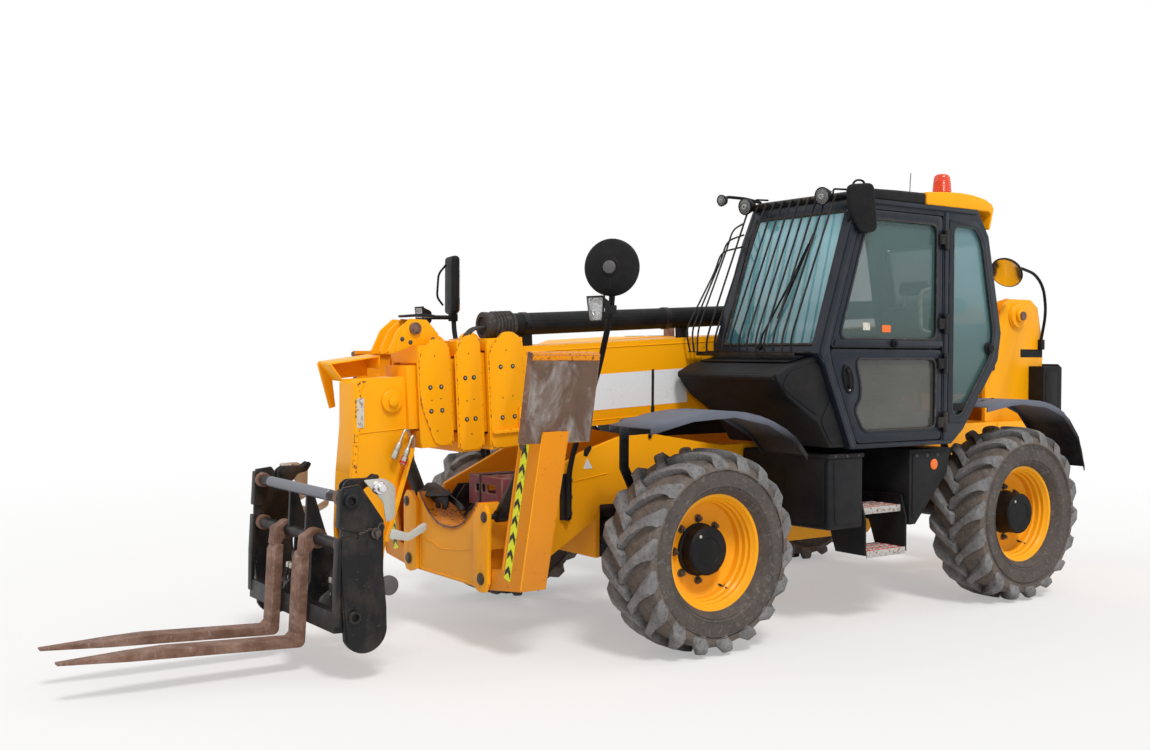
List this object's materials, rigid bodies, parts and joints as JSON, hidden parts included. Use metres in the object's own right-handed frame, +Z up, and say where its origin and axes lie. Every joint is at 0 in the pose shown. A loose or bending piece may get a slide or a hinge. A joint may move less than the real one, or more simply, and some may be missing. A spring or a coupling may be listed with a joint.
{
  "type": "telehandler",
  "caption": "Telescopic handler with side cab, telescoping boom, pallet forks, front stabilisers and steered wheels.",
  "frame": {"origin": "middle of the footprint at ground level", "axes": "+X forward towards the fork tips, +Y to the driver's left, +Z up"},
  "size_m": [7.4524, 2.386, 2.848],
  "materials": {
    "yellow": "gloss paint, chipped at edges",
    "black_paint": "satin black paint",
    "black_plastic": "textured",
    "tyre": "dusty",
    "fork_steel": "worn and rusty",
    "bright_steel": "polished rod",
    "glass": "tinted",
    "seat_cloth": "woven",
    "engine_iron": "cast"
  },
  "bodies": {
    "root": {"chassis_frame": "yellow", "stabiliser_beam": "yellow", "axle_front": "black_paint", "axle_rear": "black_paint", "cab_shell": "black_paint", "cab_roof": "black_plastic", "roof_visor": "yellow", "quarter_glass": "glass", "windscreen": "glass", "rear_window": "glass", "right_window": "glass", "seat": "seat_cloth", "steering_console": "black_plastic", "steering_wheel": "black_plastic", "cab_cowl": "black_plastic", "screen_guard": "black_paint", "side_box_front": "black_plastic", "steps": "black_plastic", "engine_pod": "black_plastic", "engine_block": "engine_iron", "rear_guard": "black_plastic", "mirror_left": "black_plastic", "mirror_right": "black_plastic", "mirror_rear": "black_plastic"},
    "boom": {"boom_outer": "yellow", "hose_tube": "black_plastic"},
    "section_2": {"boom_section_2": "yellow"},
    "section_3": {"boom_section_3": "yellow"},
    "section_4": {"boom_nose": "yellow"},
    "carriage_body": {"carriage": "black_paint"},
    "fork_l": {"fork_left": "fork_steel"},
    "fork_r": {"fork_right": "fork_steel"},
    "lift_barrel_body": {"lift_barrel": "black_paint"},
    "lift_rod_body": {"lift_rod": "bright_steel"},
    "tilt_barrel_body": {"tilt_barrel": "black_paint"},
    "tilt_rod_body": {"tilt_rod": "bright_steel"},
    "upper_door": {"door_upper": "black_paint", "door_upper_glass": "glass"},
    "lower_door": {"door_lower": "black_paint", "door_lower_glass": "glass"},
    "cover": {"engine_cover": "yellow"},
    "leg_l": {"stabiliser_leg_left": "yellow"},
    "leg_barrel_l": {"stabiliser_barrel_left": "black_paint"},
    "leg_rod_l": {"stabiliser_rod_left": "bright_steel"},
    "leg_r": {"stabiliser_leg_right": "yellow"},
    "leg_barrel_r": {"stabiliser_barrel_right": "black_paint"},
    "leg_rod_r": {"stabiliser_rod_right": "bright_steel"},
    "knuckle_fl": {"knuckle_fender_front_left": "black_plastic"},
    "wheel_fl": {"tyre_front_left": "tyre", "rim_front_left": "yellow"},
    "knuckle_fr": {"knuckle_fender_front_right": "black_plastic"},
    "wheel_fr": {"tyre_front_right": "tyre", "rim_front_right": "yellow"},
    "knuckle_rl": {"knuckle_fender_rear_left": "black_plastic"},
    "wheel_rl": {"tyre_rear_left": "tyre", "rim_rear_left": "yellow"},
    "knuckle_rr": {"knuckle_fender_rear_right": "black_plastic"},
    "wheel_rr": {"tyre_rear_right": "tyre", "rim_rear_right": "yellow"}
  },
  "joints": [
    {"name": "boom_lift", "type": "hinge", "parent": "root", "child": "boom", "pos_m": [-3.32616, 0, 1.96], "axis": [0, -1, 0], "range_deg": [-1, 68]},
    {"name": "boom_extend", "type": "slide", "parent": "boom", "child": "section_2", "axis": [0.9986, 0, -0.0523], "range_m": [0, 3.4]},
    {"name": "boom_extend_3", "type": "slide", "parent": "section_2", "child": "section_3", "axis": [0.9986, 0, -0.0523], "range_m": [0, 3.4]},
    {"name": "boom_extend_4", "type": "slide", "parent": "section_3", "child": "section_4", "axis": [0.9986, 0, -0.0523], "range_m": [0, 3.4]},
    {"name": "carriage_tilt", "type": "hinge", "parent": "section_4", "child": "carriage_body", "pos_m": [2.12384, 0, 0.41], "axis": [0, 1, 0], "range_deg": [-10, 100]},
    {"name": "tilt_barrel_turn", "type": "hinge", "parent": "section_4", "child": "tilt_barrel_body", "pos_m": [1.97384, 0, 1.385], "axis": [0, 1, 0], "range_deg": [-2, 6]},
    {"name": "tilt_rod_slide", "type": "slide", "parent": "tilt_barrel_body", "child": "tilt_rod_body", "axis": [0.0627, 0, -0.998], "range_m": [-0.25, 0.03]},
    {"name": "lift_barrel_turn", "type": "hinge", "parent": "root", "child": "lift_barrel_body", "pos_m": [-0.67616, 0, 0.65], "axis": [0, -1, 0], "range_deg": [-32, 1]},
    {"name": "lift_rod_slide", "type": "slide", "parent": "lift_barrel_body", "child": "lift_rod_body", "axis": [-0.9578, 0, 0.2873], "range_m": [-0.01, 0.27]},
    {"name": "fork_left_swing", "type": "hinge", "parent": "carriage_body", "child": "fork_l", "pos_m": [2.45671, 0.175, 0.6888], "axis": [0, -1, 0], "range_deg": [0, 60]},
    {"name": "fork_right_swing", "type": "hinge", "parent": "carriage_body", "child": "fork_r", "pos_m": [2.45671, -0.175, 0.6888], "axis": [0, -1, 0], "range_deg": [0, 60]},
    {"name": "door_upper_swing", "type": "hinge", "parent": "root", "child": "upper_door", "pos_m": [-1.35916, 1.168, 2.1], "axis": [0, 0, 1], "range_deg": [0, 160]},
    {"name": "door_lower_swing", "type": "hinge", "parent": "root", "child": "lower_door", "pos_m": [-1.35916, 1.168, 1.4], "axis": [0, 0, 1], "range_deg": [0, 85]},
    {"name": "engine_cover_lift", "type": "hinge", "parent": "root", "child": "cover", "pos_m": [-0.77616, -0.4063, 1.73], "axis": [-1, 0, 0], "range_deg": [0, 55]},
    {"name": "stabiliser_left", "type": "hinge", "parent": "root", "child": "leg_l", "pos_m": [1.48384, 0.42, 0.42], "axis": [-1, 0, 0], "range_deg": [0, 80]},
    {"name": "stabiliser_barrel_turn_left", "type": "hinge", "parent": "root", "child": "leg_barrel_l", "pos_m": [1.48384, 0.45, 0.76], "axis": [-1, 0, 0], "range_deg": [-1, 96]},
    {"name": "stabiliser_rod_slide_left", "type": "slide", "parent": "leg_barrel_l", "child": "leg_rod_l", "axis": [0, 0.6493, 0.7606], "range_m": [-0.01, 0.42]},
    {"name": "stabiliser_right", "type": "hinge", "parent": "root", "child": "leg_r", "pos_m": [1.48384, -0.42, 0.42], "axis": [1, 0, 0], "range_deg": [0, 80]},
    {"name": "stabiliser_barrel_turn_right", "type": "hinge", "parent": "root", "child": "leg_barrel_r", "pos_m": [1.48384, -0.45, 0.76], "axis": [1, 0, 0], "range_deg": [-1, 96]},
    {"name": "stabiliser_rod_slide_right", "type": "slide", "parent": "leg_barrel_r", "child": "leg_rod_r", "axis": [0, -0.6493, 0.7606], "range_m": [-0.01, 0.42]},
    {"name": "steer_front_left", "type": "hinge", "parent": "root", "child": "knuckle_fl", "pos_m": [0.52384, 0.72, 0.565], "axis": [0, 0, 1], "range_deg": [-28, 28]},
    {"name": "wheel_front_left_spin", "type": "hinge", "parent": "knuckle_fl", "child": "wheel_fl", "pos_m": [0.52384, 0.993, 0.565], "axis": [0, 1, 0], "continuous": true},
    {"name": "steer_front_right", "type": "hinge", "parent": "root", "child": "knuckle_fr", "pos_m": [0.52384, -0.72, 0.565], "axis": [0, 0, 1], "range_deg": [-28, 28]},
    {"name": "wheel_front_right_spin", "type": "hinge", "parent": "knuckle_fr", "child": "wheel_fr", "pos_m": [0.52384, -0.993, 0.565], "axis": [0, 1, 0], "continuous": true},
    {"name": "steer_rear_left", "type": "hinge", "parent": "root", "child": "knuckle_rl", "pos_m": [-2.22616, 0.72, 0.585], "axis": [0, 0, 1], "range_deg": [-28, 28]},
    {"name": "wheel_rear_left_spin", "type": "hinge", "parent": "knuckle_rl", "child": "wheel_rl", "pos_m": [-2.22616, 0.993, 0.585], "axis": [0, 1, 0], "continuous": true},
    {"name": "steer_rear_right", "type": "hinge", "parent": "root", "child": "knuckle_rr", "pos_m": [-2.22616, -0.72, 0.585], "axis": [0, 0, 1], "range_deg": [-28, 28]},
    {"name": "wheel_rear_right_spin", "type": "hinge", "parent": "knuckle_rr", "child": "wheel_rr", "pos_m": [-2.22616, -0.993, 0.585], "axis": [0, 1, 0], "continuous": true}
  ],
  "couplings": [
    {"joint": "boom_extend_3", "follows": "boom_extend", "ratio": 1},
    {"joint": "boom_extend_4", "follows": "boom_extend", "ratio": 1},
    {"joint": "tilt_barrel_turn", "follows": "carriage_tilt", "ratio": 0.042},
    {"joint": "tilt_rod_slide", "follows": "carriage_tilt", "m_per_rad": -0.134},
    {"joint": "lift_barrel_turn", "follows": "boom_lift", "ratio": -0.443},
    {"joint": "lift_rod_slide", "follows": "boom_lift", "m_per_rad": 0.212},
    {"joint": "stabiliser_barrel_turn_left", "follows": "stabiliser_left", "ratio": 1.15},
    {"joint": "stabiliser_rod_slide_left", "follows": "stabiliser_left", "m_per_rad": 0.28},
    {"joint": "stabiliser_barrel_turn_right", "follows": "stabiliser_right", "ratio": 1.15},
    {"joint": "stabiliser_rod_slide_right", "follows": "stabiliser_right", "m_per_rad": 0.28},
    {"joint": "steer_front_right", "follows": "steer_front_left", "ratio": 1},
    {"joint": "steer_rear_right", "follows": "steer_rear_left", "ratio": 1}
  ]
}
